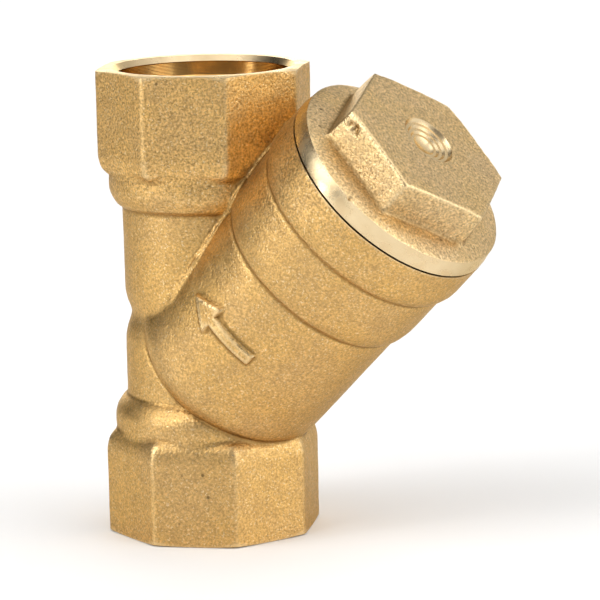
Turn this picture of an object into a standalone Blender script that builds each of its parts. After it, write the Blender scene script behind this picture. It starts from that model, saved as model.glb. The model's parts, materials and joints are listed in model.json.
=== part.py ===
"""Y strainer for a half-inch pipe: body, screw cap, gasket and a screen basket.

Units are metres, +Z is up and the strainer stands on its inlet face.
The run is the straight pipe axis; the branch leaves it upward at 45 degrees and
holds the screen under the cap. Turned profiles are lists of (radius, distance),
written from the top of the piece down its outer side.
"""

import math

import bmesh
import bpy
from mathutils import Matrix, Vector

MM = 0.001

# ---------------------------------------------------------------- run
RUN_X = -13.21 * MM          # places the origin under the middle of the whole part
LENGTH = 58.0 * MM           # face to face
OCTAGON_FLATS = 25.0 * MM    # spanner size of both ends
OCTAGON_CORNER_R = OCTAGON_FLATS / 2.0 / math.cos(math.pi / 8.0)
INLET_SHOULDER_Z = 10.5 * MM   # top of the inlet octagon
OUTLET_SHOULDER_Z = 46.0 * MM  # underside of the outlet octagon
FACE_R = 12.35 * MM          # flat ring of each end face
FACE_CHAMFER = 0.4 * MM      # turned off the octagon's corners
NECK_R = 10.5 * MM
WAIST_R = 9.7 * MM           # narrowest place, between the two halves of the neck
WAIST_Z = 27.6 * MM
COLLAR_R = 12.05 * MM        # round collar beside each octagon
INLET_COLLAR_Z = 13.2 * MM   # lower edge of the inlet collar's straight part
INLET_COLLAR_HEIGHT = 1.9 * MM
OUTLET_COLLAR_Z = 43.0 * MM
OUTLET_COLLAR_HEIGHT = 1.8 * MM
SOCKET_R = 9.9 * MM          # pitch radius of the pipe thread
SOCKET_DEPTH = 11.5 * MM
MOUTH_R = 11.1 * MM          # lead-in chamfer at each end
PASSAGE_R = 7.0 * MM
OUTLET_FLOOR_Z = 29.0 * MM
INLET_TOP_Z = 18.0 * MM

# ---------------------------------------------------------------- branch
BRANCH_ANGLE = math.radians(45.0)
BRANCH_Z = 18.0 * MM         # height at which the branch axis crosses the run axis
TUBE_R = 13.0 * MM
BRANCH_COLLAR_R = 13.75 * MM
COLLAR_STEP_S = 25.35 * MM   # where the collar starts to fall to the tube
FLANGE_R = 14.4 * MM
FLANGE_STEP_S = 33.35 * MM   # where the flange starts to fall to the collar
MOUTH_S = 37.65 * MM         # distance of the mouth along the branch axis
TUBE_LOW_S = 5.0 * MM        # where the tube starts to round off into its closed end
CHAMBER_R = 10.6 * MM
CHAMBER_LOW_S = 7.0 * MM
CAP_BORE_R = 12.15 * MM
CAP_BORE_FLOOR_S = 29.0 * MM
GUIDE_R = 8.85 * MM          # holds the rims of the screen
GUIDE_TOP_S = 4.6 * MM
SEAT_S = 2.0 * MM
SEAT_BORE_R = 6.9 * MM
SEAT_BORE_END_S = -4.0 * MM  # reaches down into the inlet passage
GASKET_FLOOR_S = 36.55 * MM
GASKET_BORE_R = 13.45 * MM

ARROW_S = 14.3 * MM          # middle of the flow arrow along the branch axis
ARROW_LENGTH = 10.4 * MM
ARROW_HEAD = 4.0 * MM
ARROW_WIDTH = 4.0 * MM
ARROW_SHAFT = 1.5 * MM
ARROW_RAISED = 0.5 * MM
ARROW_REACH = 5.0 * MM       # depth of the untrimmed arrow, half of it inside the wall

# ---------------------------------------------------------------- cap
CAP_UNDER_S = 37.85 * MM
CAP_SHOULDER_S = 40.5 * MM
CAP_FLANGE_R = 14.35 * MM
HEX_TOP_S = 45.4 * MM
HEX_CORNER_R = 11.8 * MM
HEX_DRAFT = 0.25 * MM
HEX_CHAMFER_R = 10.7 * MM    # the top corners are turned off from this radius
HEX_CHAMFER_DROP = 0.55 * MM
HEX_TURN = math.radians(-7.0)
SKIRT_R = 11.95 * MM
SKIRT_RELIEF_R = 11.4 * MM   # runout of the thread under the flange
SKIRT_END_S = 30.0 * MM
CAP_HOLLOW_R = 7.6 * MM
CAP_HOLLOW_S = 41.6 * MM
CAP_LEDGE_S = 34.3 * MM
DIMPLE_R = 3.2 * MM
DIMPLE_DEPTH = 0.6 * MM

# ---------------------------------------------------------------- screen
SCREEN_BOTTOM_S = 2.3 * MM
SCREEN_TOP_S = 34.0 * MM
RIM_HEIGHT = 2.2 * MM
RIM_FLOOR = 0.45 * MM
RIM_OUTER_R = 8.6 * MM
RIM_GROOVE_OUT_R = 8.32 * MM
RIM_GROOVE_IN_R = 6.92 * MM
RIM_INNER_R = 6.6 * MM
SHEET_OUTER_R = 8.08 * MM
SHEET_INNER_R = 7.62 * MM
LINING_OUTER_R = 7.38 * MM
LINING_INNER_R = 7.16 * MM
SCREEN_CLEAR = 0.25 * MM
SHEET_LOW_S = SCREEN_BOTTOM_S + RIM_FLOOR + SCREEN_CLEAR
SHEET_HIGH_S = SCREEN_TOP_S - RIM_FLOOR - SCREEN_CLEAR
HOLE_R = 1.0 * MM
HOLE_SIDES = 8
HOLES_ROUND = 14
HOLE_ROWS = 10
SHEET_BAND = 2.6 * MM        # plain strip at each end of the perforated sheet
PUNCH_DEPTH = 1.6 * MM

# ---------------------------------------------------------------- gasket
GASKET_INNER_R = 12.2 * MM
GASKET_OUTER_R = 13.2 * MM
GASKET_LOW_S = 36.75 * MM
GASKET_HIGH_S = 37.65 * MM

FINE = 48                    # flats round the large turned shapes
MEDIUM = 32
OVERCUT = 1.0 * MM           # how far a cutter stands past the face it opens

BRANCH_FRAME = (
    Matrix.Translation(Vector((RUN_X, 0.0, BRANCH_Z))) @ Matrix.Rotation(BRANCH_ANGLE, 4, "Y")
)
RUN_FRAME = Matrix.Translation(Vector((RUN_X, 0.0, 0.0)))


def clear_scene():
    for obj in list(bpy.data.objects):
        bpy.data.objects.remove(obj, do_unlink=True)
    for collection in list(bpy.data.collections):
        bpy.data.collections.remove(collection)


def new_collection(name, hidden=False):
    collection = bpy.data.collections.new(name)
    bpy.context.scene.collection.children.link(collection)
    collection.hide_render = hidden
    return collection


def material(name, colour, metallic, roughness):
    mat = bpy.data.materials.new(name)
    mat.use_nodes = True
    shader = mat.node_tree.nodes["Principled BSDF"]
    shader.inputs["Base Color"].default_value = (*colour, 1.0)
    shader.inputs["Metallic"].default_value = metallic
    shader.inputs["Roughness"].default_value = roughness
    return mat


def add_object(name, mesh, collection):
    obj = bpy.data.objects.new(name, mesh)
    collection.objects.link(obj)
    return obj


def mark_cutter(obj):
    obj.hide_render = True
    obj.display_type = "WIRE"


def turned(name, collection, profile, frame, steps=FINE):
    """Revolve a profile of (radius, distance) about the frame's Z axis with a Screw."""
    mesh = bpy.data.meshes.new(name)
    points = [(radius, 0.0, height) for radius, height in profile]
    edges = [(i, i + 1) for i in range(len(points) - 1)]
    if profile[0][0] > 0.0 and profile[-1][0] > 0.0:
        edges.append((len(points) - 1, 0))
    mesh.from_pydata(points, edges, [])
    obj = add_object(name, mesh, collection)
    obj.matrix_world = frame
    screw = obj.modifiers.new("Turn", "SCREW")
    screw.axis = "Z"
    screw.angle = 2.0 * math.pi
    screw.steps = steps
    screw.render_steps = steps
    screw.use_merge_vertices = True
    screw.merge_threshold = 0.00001
    return obj


def polygon_prism(name, collection, corner_r, sides, low, high, turn, frame, top_r=None):
    """A regular prism with a corner at the given turn, and an optional draft to its top."""
    mesh = bpy.data.meshes.new(name)
    bm = bmesh.new()
    bmesh.ops.create_cone(
        bm,
        cap_ends=True,
        segments=sides,
        radius1=corner_r,
        radius2=top_r or corner_r,
        depth=high - low,
    )
    first = next(iter(bm.verts)).co
    missing_turn = turn - math.atan2(first.y, first.x)
    bmesh.ops.rotate(bm, verts=bm.verts, matrix=Matrix.Rotation(missing_turn, 3, "Z"))
    bmesh.ops.translate(bm, verts=bm.verts, vec=Vector((0.0, 0.0, (low + high) / 2.0)))
    bm.to_mesh(mesh)
    bm.free()
    obj = add_object(name, mesh, collection)
    obj.matrix_world = frame
    return obj


def mesh_from_curve(name, drawn, collection):
    """A closed mesh object in the curve's place; the curve itself is removed."""
    graph = bpy.context.evaluated_depsgraph_get()
    mesh = bpy.data.meshes.new_from_object(drawn.evaluated_get(graph))
    mesh.name = name
    bm = bmesh.new()
    bm.from_mesh(mesh)
    bmesh.ops.remove_doubles(bm, verts=bm.verts, dist=0.00001)
    bmesh.ops.recalc_face_normals(bm, faces=bm.faces[:])
    bm.to_mesh(mesh)
    bm.free()
    obj = add_object(name, mesh, collection)
    obj.matrix_world = drawn.matrix_world.copy()
    bpy.data.objects.remove(drawn, do_unlink=True)
    return obj


def boolean(obj, tool, operation):
    step = obj.modifiers.new(f"{operation.title()} {tool.name}", "BOOLEAN")
    step.operation = operation
    step.solver = "EXACT"
    step.object = tool


# ------------------------------------------------------------------ body
def run_profile():
    outer = OCTAGON_CORNER_R + 0.4 * MM
    outlet_collar_top = OUTLET_COLLAR_Z + OUTLET_COLLAR_HEIGHT
    inlet_collar_top = INLET_COLLAR_Z + INLET_COLLAR_HEIGHT
    return [
        (0.0, LENGTH),
        (FACE_R, LENGTH),
        (outer, LENGTH - FACE_CHAMFER),
        (outer, OUTLET_SHOULDER_Z),
        (COLLAR_R + 1.21 * MM, OUTLET_SHOULDER_Z),
        (COLLAR_R + 0.7 * MM, outlet_collar_top + 0.6 * MM),
        (COLLAR_R, outlet_collar_top),
        (COLLAR_R, OUTLET_COLLAR_Z),
        (NECK_R + 1.0 * MM, OUTLET_COLLAR_Z - 1.3 * MM),
        (NECK_R + 0.3 * MM, OUTLET_COLLAR_Z - 2.1 * MM),
        (NECK_R, OUTLET_COLLAR_Z - 2.8 * MM),
        (NECK_R, WAIST_Z + 2.8 * MM),
        (WAIST_R + 0.4 * MM, WAIST_Z + 1.1 * MM),
        (WAIST_R, WAIST_Z),
        (WAIST_R + 0.25 * MM, WAIST_Z - 1.0 * MM),
        (NECK_R, WAIST_Z - 2.6 * MM),
        (NECK_R, inlet_collar_top + 2.6 * MM),
        (NECK_R + 0.5 * MM, inlet_collar_top + 1.9 * MM),
        (COLLAR_R - 0.45 * MM, inlet_collar_top + 1.1 * MM),
        (COLLAR_R, inlet_collar_top),
        (COLLAR_R, INLET_COLLAR_Z),
        (COLLAR_R + 0.35 * MM, INLET_COLLAR_Z - 0.7 * MM),
        (COLLAR_R + 0.85 * MM, INLET_COLLAR_Z - 1.5 * MM),
        (COLLAR_R + 1.25 * MM, INLET_SHOULDER_Z + 0.6 * MM),
        (COLLAR_R + 1.35 * MM, INLET_SHOULDER_Z + 0.3 * MM),
        (outer, INLET_SHOULDER_Z),
        (outer, FACE_CHAMFER),
        (FACE_R, 0.0),
        (0.0, 0.0),
    ]


def branch_profile():
    return [
        (0.0, MOUTH_S),
        (FLANGE_R - 0.15 * MM, MOUTH_S),
        (FLANGE_R, MOUTH_S - 0.25 * MM),
        (FLANGE_R, FLANGE_STEP_S),
        (FLANGE_R - 0.15 * MM, FLANGE_STEP_S - 0.8 * MM),
        (BRANCH_COLLAR_R + 0.15 * MM, FLANGE_STEP_S - 1.6 * MM),
        (BRANCH_COLLAR_R, FLANGE_STEP_S - 2.3 * MM),
        (BRANCH_COLLAR_R, COLLAR_STEP_S),
        (BRANCH_COLLAR_R - 0.2 * MM, COLLAR_STEP_S - 0.8 * MM),
        (TUBE_R + 0.3 * MM, COLLAR_STEP_S - 1.8 * MM),
        (TUBE_R, COLLAR_STEP_S - 2.6 * MM),
        (TUBE_R, TUBE_LOW_S),
        (TUBE_R - 0.25 * MM, TUBE_LOW_S - 1.1 * MM),
        (TUBE_R - 0.9 * MM, TUBE_LOW_S - 2.3 * MM),
        (TUBE_R - 1.7 * MM, TUBE_LOW_S - 3.2 * MM),
        (TUBE_R - 3.0 * MM, TUBE_LOW_S - 4.1 * MM),
        (TUBE_R - 5.5 * MM, TUBE_LOW_S - 4.9 * MM),
        (0.0, TUBE_LOW_S - 5.6 * MM),
    ]


def socket_profile(face_z, direction):
    """A threaded end's bore: lead-in chamfer, socket, then the start of the passage."""
    points = [
        (0.0, -OVERCUT),
        (MOUTH_R + OVERCUT, -OVERCUT),
        (MOUTH_R, 0.0),
        (SOCKET_R, 1.1 * MM),
        (SOCKET_R, SOCKET_DEPTH - 0.6 * MM),
        (SOCKET_R - 0.6 * MM, SOCKET_DEPTH),
        (0.0, SOCKET_DEPTH),
    ]
    placed = [(radius, face_z + direction * depth) for radius, depth in points]
    return placed if direction < 0 else list(reversed(placed))


def build_body(parts, cutters, mat):
    body = turned("body", parts, run_profile(), RUN_FRAME)
    octagon = polygon_prism(
        "cut_octagon", cutters, OCTAGON_CORNER_R, 8, -OVERCUT, LENGTH + OVERCUT, 0.0, RUN_FRAME
    )
    branch = turned("cut_branch", cutters, branch_profile(), BRANCH_FRAME)
    chamber = turned(
        "cut_chamber",
        cutters,
        [
            (0.0, MOUTH_S + OVERCUT),
            (GASKET_BORE_R, MOUTH_S + OVERCUT),
            (GASKET_BORE_R, GASKET_FLOOR_S),
            (CAP_BORE_R + 0.3 * MM, GASKET_FLOOR_S),
            (CAP_BORE_R, GASKET_FLOOR_S - 0.3 * MM),
            (CAP_BORE_R, CAP_BORE_FLOOR_S),
            (CHAMBER_R, CAP_BORE_FLOOR_S - 0.8 * MM),
            (CHAMBER_R, CHAMBER_LOW_S),
            (GUIDE_R, GUIDE_TOP_S),
            (GUIDE_R, SEAT_S),
            (SEAT_BORE_R, SEAT_S),
            (SEAT_BORE_R, SEAT_BORE_END_S),
            (0.0, SEAT_BORE_END_S),
        ],
        BRANCH_FRAME,
    )
    outlet = turned("cut_outlet", cutters, socket_profile(LENGTH, -1.0), RUN_FRAME)
    inlet = turned("cut_inlet", cutters, socket_profile(0.0, 1.0), RUN_FRAME)
    outlet_bore = turned(
        "cut_outlet_bore",
        cutters,
        [
            (0.0, LENGTH - SOCKET_DEPTH + OVERCUT),
            (PASSAGE_R, LENGTH - SOCKET_DEPTH + OVERCUT),
            (PASSAGE_R, OUTLET_FLOOR_Z + 1.0 * MM),
            (PASSAGE_R - 1.0 * MM, OUTLET_FLOOR_Z),
            (0.0, OUTLET_FLOOR_Z),
        ],
        RUN_FRAME,
        MEDIUM,
    )
    inlet_bore = turned(
        "cut_inlet_bore",
        cutters,
        [
            (0.0, INLET_TOP_Z),
            (PASSAGE_R - 1.0 * MM, INLET_TOP_Z),
            (PASSAGE_R, INLET_TOP_Z - 1.0 * MM),
            (PASSAGE_R, SOCKET_DEPTH - OVERCUT),
            (0.0, SOCKET_DEPTH - OVERCUT),
        ],
        RUN_FRAME,
        MEDIUM,
    )
    arrow = flow_arrow("cut_flow_arrow", cutters)
    boolean(body, octagon, "INTERSECT")
    boolean(body, branch, "UNION")
    boolean(body, arrow, "UNION")
    for tool in (outlet, inlet, outlet_bore, inlet_bore, chamber):
        boolean(body, tool, "DIFFERENCE")
    for tool in (octagon, branch, arrow, chamber, outlet, inlet, outlet_bore, inlet_bore):
        mark_cutter(tool)
    body.data.materials.append(mat)


# ------------------------------------------------------------------ flow arrow
def flow_arrow(name, collection):
    """A raised arrow on the front of the branch, pointing the way the water leaves.

    A flat arrow-shaped prism is trimmed to a cylinder just larger than the branch.
    """
    half = ARROW_LENGTH / 2.0
    neck = half - ARROW_HEAD
    outline = [
        (-half, -ARROW_SHAFT / 2.0),
        (neck, -ARROW_SHAFT / 2.0),
        (neck, -ARROW_WIDTH / 2.0),
        (half, 0.0),
        (neck, ARROW_WIDTH / 2.0),
        (neck, ARROW_SHAFT / 2.0),
        (-half, ARROW_SHAFT / 2.0),
    ]
    curve = bpy.data.curves.new(name, "CURVE")
    curve.dimensions = "2D"
    curve.fill_mode = "BOTH"
    curve.extrude = ARROW_REACH / 2.0
    spline = curve.splines.new("POLY")
    spline.points.add(len(outline) - 1)
    for point, (along, up) in zip(spline.points, outline):
        point.co = (along, up, 0.0, 1.0)
    spline.use_cyclic_u = True
    drawn = add_object(name + "_outline", curve, collection)
    drawn.matrix_world = (
        BRANCH_FRAME
        @ Matrix.Translation(Vector((0.0, -TUBE_R, ARROW_S)))
        @ Matrix.Rotation(math.pi, 4, "Z")
        @ Matrix.Rotation(math.pi / 2.0, 4, "X")
    )
    arrow = mesh_from_curve(name, drawn, collection)
    trim_r = TUBE_R + ARROW_RAISED
    trim = turned(
        name + "_trim",
        collection,
        [
            (0.0, ARROW_S + ARROW_WIDTH),
            (trim_r, ARROW_S + ARROW_WIDTH),
            (trim_r, ARROW_S - ARROW_WIDTH),
            (0.0, ARROW_S - ARROW_WIDTH),
        ],
        BRANCH_FRAME,
    )
    mark_cutter(trim)
    boolean(arrow, trim, "INTERSECT")
    return arrow


# ------------------------------------------------------------------ cap
def build_cap(parts, cutters, mat):
    cap = turned(
        "cap",
        parts,
        [
            (0.0, CAP_SHOULDER_S),
            (CAP_FLANGE_R - 1.05 * MM, CAP_SHOULDER_S),
            (CAP_FLANGE_R - 0.5 * MM, CAP_SHOULDER_S - 0.25 * MM),
            (CAP_FLANGE_R - 0.25 * MM, CAP_SHOULDER_S - 0.8 * MM),
            (CAP_FLANGE_R - 0.15 * MM, CAP_SHOULDER_S - 1.4 * MM),
            (CAP_FLANGE_R, CAP_SHOULDER_S - 2.0 * MM),
            (CAP_FLANGE_R, CAP_UNDER_S + 0.2 * MM),
            (CAP_FLANGE_R - 0.2 * MM, CAP_UNDER_S),
            (SKIRT_RELIEF_R, CAP_UNDER_S),
            (SKIRT_RELIEF_R, CAP_UNDER_S - 1.0 * MM),
            (SKIRT_R, CAP_UNDER_S - 1.6 * MM),
            (SKIRT_R, SKIRT_END_S + 0.7 * MM),
            (SKIRT_R - 0.7 * MM, SKIRT_END_S),
            (0.0, SKIRT_END_S),
        ],
        BRANCH_FRAME,
    )
    hexagon = polygon_prism(
        "cut_hexagon", cutters, HEX_CORNER_R, 6, CAP_SHOULDER_S - OVERCUT, HEX_TOP_S,
        HEX_TURN, BRANCH_FRAME, HEX_CORNER_R - HEX_DRAFT,
    )
    hex_chamfer = turned(
        "cut_hex_chamfer",
        cutters,
        [
            (0.0, HEX_TOP_S + OVERCUT),
            (HEX_CHAMFER_R - 0.5 * MM, HEX_TOP_S + OVERCUT),
            (HEX_CHAMFER_R, HEX_TOP_S),
            (HEX_CORNER_R + 0.2 * MM, HEX_TOP_S - HEX_CHAMFER_DROP),
            (HEX_CORNER_R + 0.2 * MM, CAP_SHOULDER_S - 2.0 * MM),
            (0.0, CAP_SHOULDER_S - 2.0 * MM),
        ],
        BRANCH_FRAME,
    )
    hollow = turned(
        "cut_cap_hollow",
        cutters,
        [
            (0.0, CAP_HOLLOW_S),
            (CAP_HOLLOW_R - 1.0 * MM, CAP_HOLLOW_S),
            (CAP_HOLLOW_R, CAP_HOLLOW_S - 1.0 * MM),
            (CAP_HOLLOW_R, CAP_LEDGE_S),
            (GUIDE_R, CAP_LEDGE_S),
            (GUIDE_R, SKIRT_END_S + 0.6 * MM),
            (GUIDE_R + 1.6 * MM, SKIRT_END_S - OVERCUT),
            (0.0, SKIRT_END_S - OVERCUT),
        ],
        BRANCH_FRAME,
    )
    dimple = turned(
        "cut_dimple",
        cutters,
        [
            (0.0, HEX_TOP_S + OVERCUT),
            (DIMPLE_R + 0.15 * MM, HEX_TOP_S + OVERCUT),
            (DIMPLE_R + 0.15 * MM, HEX_TOP_S + 0.05 * MM),
            (DIMPLE_R - 0.3 * MM, HEX_TOP_S - 0.3 * MM),
            (DIMPLE_R - 2.0 * MM, HEX_TOP_S - DIMPLE_DEPTH),
            (0.0, HEX_TOP_S - DIMPLE_DEPTH - 0.3 * MM),
        ],
        BRANCH_FRAME,
        MEDIUM,
    )
    boolean(hexagon, hex_chamfer, "INTERSECT")
    boolean(cap, hexagon, "UNION")
    boolean(cap, hollow, "DIFFERENCE")
    boolean(cap, dimple, "DIFFERENCE")
    for tool in (hexagon, hex_chamfer, hollow, dimple):
        mark_cutter(tool)
    cap.data.materials.append(mat)


def build_gasket(parts, mat):
    gasket = turned(
        "cap_gasket",
        parts,
        [
            (GASKET_INNER_R, GASKET_HIGH_S),
            (GASKET_OUTER_R - 0.12 * MM, GASKET_HIGH_S),
            (GASKET_OUTER_R, GASKET_HIGH_S - 0.12 * MM),
            (GASKET_OUTER_R, GASKET_LOW_S + 0.12 * MM),
            (GASKET_OUTER_R - 0.12 * MM, GASKET_LOW_S),
            (GASKET_INNER_R, GASKET_LOW_S),
        ],
        BRANCH_FRAME,
    )
    gasket.data.materials.append(mat)


# ------------------------------------------------------------------ screen
def build_rim(name, parts, mat, floor_s, side):
    """A folded channel ring. side is +1 when its groove opens toward the cap."""
    points = [
        (RIM_INNER_R, RIM_HEIGHT),
        (RIM_INNER_R, 0.0),
        (RIM_OUTER_R - 0.15 * MM, 0.0),
        (RIM_OUTER_R, 0.15 * MM),
        (RIM_OUTER_R, RIM_HEIGHT),
        (RIM_GROOVE_OUT_R, RIM_HEIGHT),
        (RIM_GROOVE_OUT_R, RIM_FLOOR),
        (RIM_GROOVE_IN_R, RIM_FLOOR),
        (RIM_GROOVE_IN_R, RIM_HEIGHT),
    ]
    placed = [(radius, floor_s + side * height) for radius, height in points]
    profile = list(reversed(placed)) if side > 0 else placed
    rim = turned(name, parts, profile, BRANCH_FRAME, MEDIUM)
    rim.data.materials.append(mat)


def hole_punch(name, collection):
    """Staggered rows of round cutters that stand out radially through the sheet."""
    row_height = (SHEET_HIGH_S - SHEET_LOW_S - 2.0 * SHEET_BAND) / HOLE_ROWS
    middle_r = (SHEET_OUTER_R + SHEET_INNER_R) / 2.0
    lay_down = Matrix.Rotation(math.pi / 2.0, 4, "Y")
    mesh = bpy.data.meshes.new(name)
    bm = bmesh.new()
    for row in range(HOLE_ROWS):
        height = SHEET_LOW_S + SHEET_BAND + (row + 0.5) * row_height
        for k in range(HOLES_ROUND):
            turn = 2.0 * math.pi * (k + 0.5 * (row % 2)) / HOLES_ROUND
            outward = Matrix.Rotation(turn, 4, "Z") @ Matrix.Translation(
                Vector((middle_r, 0.0, height))
            )
            bmesh.ops.create_cone(
                bm,
                cap_ends=True,
                segments=HOLE_SIDES,
                radius1=HOLE_R,
                radius2=HOLE_R,
                depth=PUNCH_DEPTH,
                matrix=outward @ lay_down,
            )
    bm.to_mesh(mesh)
    bm.free()
    obj = add_object(name, mesh, collection)
    obj.matrix_world = BRANCH_FRAME
    mark_cutter(obj)
    return obj


def build_sheet(parts, cutters, mat):
    """Perforated sheet rolled into a tube, standing in the rims' grooves."""
    sheet = turned(
        "screen_sheet",
        parts,
        [
            (SHEET_INNER_R, SHEET_HIGH_S),
            (SHEET_OUTER_R, SHEET_HIGH_S),
            (SHEET_OUTER_R, SHEET_LOW_S),
            (SHEET_INNER_R, SHEET_LOW_S),
        ],
        BRANCH_FRAME,
        2 * HOLES_ROUND,
    )
    boolean(sheet, hole_punch("cut_holes", cutters), "DIFFERENCE")
    sheet.data.materials.append(mat)


def build_lining(parts, mat):
    lining = turned(
        "screen_lining",
        parts,
        [
            (LINING_INNER_R, SHEET_HIGH_S),
            (LINING_OUTER_R, SHEET_HIGH_S),
            (LINING_OUTER_R, SHEET_LOW_S),
            (LINING_INNER_R, SHEET_LOW_S),
        ],
        BRANCH_FRAME,
        MEDIUM,
    )
    lining.data.materials.append(mat)


def main():
    clear_scene()
    parts = new_collection("y_strainer")
    cutters = new_collection("cutters", hidden=True)
    cast_brass = material("cast_brass", (0.66, 0.42, 0.17), 1.0, 0.42)
    cap_brass = material("cap_brass", (0.70, 0.47, 0.21), 1.0, 0.38)
    gasket_fibre = material("gasket_fibre", (0.07, 0.07, 0.07), 0.0, 0.8)
    sheet_steel = material("sheet_steel", (0.62, 0.62, 0.61), 1.0, 0.3)
    wire_steel = material("wire_steel", (0.50, 0.50, 0.49), 1.0, 0.4)
    rim_steel = material("rim_steel", (0.68, 0.68, 0.67), 1.0, 0.25)
    build_body(parts, cutters, cast_brass)
    build_cap(parts, cutters, cap_brass)
    build_gasket(parts, gasket_fibre)
    build_sheet(parts, cutters, sheet_steel)
    build_lining(parts, wire_steel)
    build_rim("screen_bottom_rim", parts, rim_steel, SCREEN_BOTTOM_S, 1.0)
    build_rim("screen_top_rim", parts, rim_steel, SCREEN_TOP_S, -1.0)


main()
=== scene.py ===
"""Looks of the y strainer: cast brass body and cap, fibre gasket, stainless screen.

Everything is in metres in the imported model's frame. The castings are turned shapes
joined, remeshed finely and softened like a sand casting; the machined faces, bores
and threads are cut afterwards, so they stay crisp. Profiles are (radius, height)
in millimetres, written from the top down the outer side.
"""

import json
import math

import bmesh
import bpy
import numpy as np
from mathutils import Matrix, Vector, noise


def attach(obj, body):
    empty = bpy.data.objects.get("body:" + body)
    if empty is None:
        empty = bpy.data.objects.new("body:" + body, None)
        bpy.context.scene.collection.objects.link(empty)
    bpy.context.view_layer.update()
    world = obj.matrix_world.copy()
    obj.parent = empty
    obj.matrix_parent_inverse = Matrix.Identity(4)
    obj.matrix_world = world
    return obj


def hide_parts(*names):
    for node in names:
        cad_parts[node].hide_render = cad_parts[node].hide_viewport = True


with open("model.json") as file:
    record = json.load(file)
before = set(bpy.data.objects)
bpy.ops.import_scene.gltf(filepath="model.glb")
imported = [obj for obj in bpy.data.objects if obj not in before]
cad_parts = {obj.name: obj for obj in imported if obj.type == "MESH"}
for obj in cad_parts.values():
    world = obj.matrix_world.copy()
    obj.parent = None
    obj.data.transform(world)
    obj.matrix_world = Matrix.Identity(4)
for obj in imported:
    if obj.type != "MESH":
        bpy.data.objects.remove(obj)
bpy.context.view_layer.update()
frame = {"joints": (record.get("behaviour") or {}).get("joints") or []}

MM = 0.001

# ------------------------------------------------------------------ driving sizes, in mm
# A name ending in _S is a place along the branch's axis, from where that meets the run's.
LENGTH = 58.0
OCTAGON_FLATS = 25.0
OCTAGON_CORNER = OCTAGON_FLATS / 2.0 / math.cos(math.pi / 8.0)
OUTLET_END_LOW = 45.6
EDGE_ROUND = 1.0
PASSAGE_R = 7.0
PIPE_THREAD_R = 10.48
PIPE_BORE_R = 9.32
PIPE_RELIEF_R = 10.6
SOCKET_DEPTH = 11.5
PIPE_PITCH = 1.814

FLANGE_R = 14.36
MOUTH_S = 37.72
CLEAR_R = 17.0
RECESS_R = 13.45
RECESS_FLOOR_S = 36.55
CAP_BORE_R = 11.3
CAP_THREAD_LOW_S = 29.0
CHAMBER_R = 10.7
SEAT_R = 8.85
SEAT_S = 2.0
SEAT_HOLE_R = 6.9

CAP_UNDER_S = 37.85
CAP_SHOULDER_S = 40.5
CAP_FLANGE_R = 14.3
CAP_THREAD_R = 11.95
CAP_PITCH = 1.5
THREAD_PHASE = 0.3
HEX_TOP_S = 45.35
HEX_CORNER = 11.85
HEX_TAPER = 0.32
HEX_TURN = math.radians(-7.0)

GASKET_TOP_S = 37.68
GASKET_LOW_S = 36.74

SHEET_LOW_S = 3.0
SHEET_HIGH_S = 33.3
SHEET_R = 8.08
SHEET_INNER_R = 7.62
SHEET_BAND = 2.6
HOLE_R = 1.0
HOLES_AROUND = 14
HOLE_ROWS = 10

LINING_R = 7.27
WIRE_THICKNESS = 0.13
WIRE_SIDES = 5

# ------------------------------------------------------------------ cast skin, in mm
UNEVEN_DEPTH = 0.04
BEAD_HEIGHT = 0.32
BEAD_WIDTH = 0.24
SEAM_GROOVE_DEPTH = 0.2
SEAM_GROOVE_WIDTH = 0.3
ARROW_HEIGHT = 0.5
# Creases under the steps are (place, depth): along the branch, then along the run.
BRANCH_CREASES = ((22.85, 0.14), (31.35, 0.13))
BRANCH_CREASE_WIDTH = 0.33
RUN_CREASES = ((40.7, 0.15), (17.3, 0.12), (44.8, 0.03), (13.1, 0.06))
RUN_CREASE_WIDTH = 0.36
# The cap's blow holes are (x, y, z) in the branch's frame, radius and depth: a cluster on
# the hexagon's front and one on the flange.
CAP_FLAWS = (
    ((-5.1, -9.5, 44.15), 0.42, 0.45),
    ((-5.9, -9.4, 44.0), 0.3, 0.3),
    ((-4.6, -9.5, 43.8), 0.25, 0.25),
    ((1.5, -13.9, 40.1), 0.25, 0.3),
)

# ------------------------------------------------------------------ fineness
CAST_VOXEL = 0.2
BODY_SMOOTHING = 10
CAP_SMOOTHING = 16
RELIEF_ROUNDS = 14
ROUND = 192
RIM_ROUND = 128
SMALL_ROUND = 96
HELIX_STEPS = 72

# ------------------------------------------------------------------ frames
TURN_JOINT = next(j for j in frame["joints"] if j["name"] == "cap_turn")
RUN_FRAME = Matrix.Translation(Vector((TURN_JOINT["pos_m"][0], 0.0, 0.0)))
BRANCH_FRAME = Matrix.Translation(Vector(TURN_JOINT["pos_m"])) @ Matrix.Rotation(
    math.radians(45.0), 4, "Y"
)
CAST_SLOT = 0
MACHINED_SLOT = 1
THREAD_SLOT = 2

# ------------------------------------------------------------------ brass colours
GOLD = (0.665, 0.41, 0.137)
TAN = (0.585, 0.38, 0.165)
CAP_GOLD = (0.68, 0.475, 0.215)
CAP_TAN = (0.62, 0.45, 0.255)
# Pale colour painted as sparkle highlights on the grain.
PAINTED_GLINT = (0.95, 0.78, 0.48)
# Pale edge colour: part rubbed wear, part painted highlight.
RUBBED_AND_HIGHLIT = (0.86, 0.66, 0.37)
# Dark brown painted as shade in creases and hollows.
HOLLOW_SHADE = (0.28, 0.155, 0.045)
# Dark brown painted as shade in tiny pits that the mesh doesn't have.
PIT_SHADE = (0.16, 0.10, 0.045)
CAST_TINT = (0.66, 0.63, 0.57, 1.0)
MACHINED_TINT = (0.78, 0.68, 0.50, 1.0)


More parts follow.
